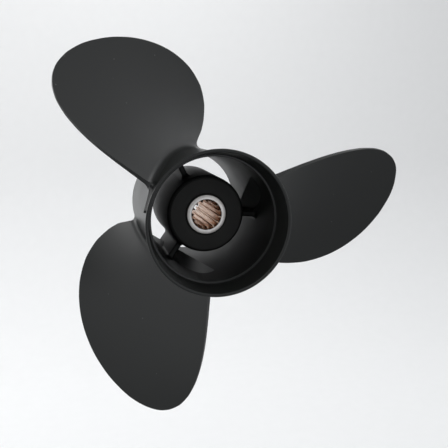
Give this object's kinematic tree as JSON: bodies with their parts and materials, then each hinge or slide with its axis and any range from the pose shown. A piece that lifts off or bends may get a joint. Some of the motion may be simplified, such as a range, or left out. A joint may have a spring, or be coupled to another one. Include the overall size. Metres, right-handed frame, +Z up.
{
  "type": "boat propeller",
  "caption": "Outboard boat propeller with broad raked blades on a flared through-hub exhaust barrel, ribs, an inner hub, a rubber damper bush and a splined sleeve.",
  "frame": {"origin": "centre of the fore thrust face of the splined sleeve, on the shaft axis, where the propeller seats against the thrust washer", "axes": "+Y along the shaft towards the boat's gearcase, so the aft ring faces -Y; +Z up; +X to the right as seen from aft"},
  "size_m": [0.2869, 0.1487, 0.3051],
  "materials": {
    "black_paint": "satin",
    "rubber": "matte",
    "bronze": "satin"
  },
  "bodies": {
    "splined_hub": {"splined_sleeve": "bronze", "rubber_bush": "rubber"},
    "casting": {"inner_hub": "black_paint", "exhaust_barrel": "black_paint", "diffuser_ring": "black_paint", "rib_1": "black_paint", "rib_2": "black_paint", "rib_3": "black_paint", "blade_1": "black_paint", "blade_2": "black_paint", "blade_3": "black_paint", "tail_fin_1": "black_paint", "tail_fin_2": "black_paint", "tail_fin_3": "black_paint"}
  },
  "joints": [
    {"name": "damper_twist", "type": "hinge", "parent": "splined_hub", "child": "casting", "pos_m": [0, 0, 0], "axis": [0, 1, 0], "range_deg": [-8, 8], "stiffness_Nm_per_rad": 400}
  ]
}
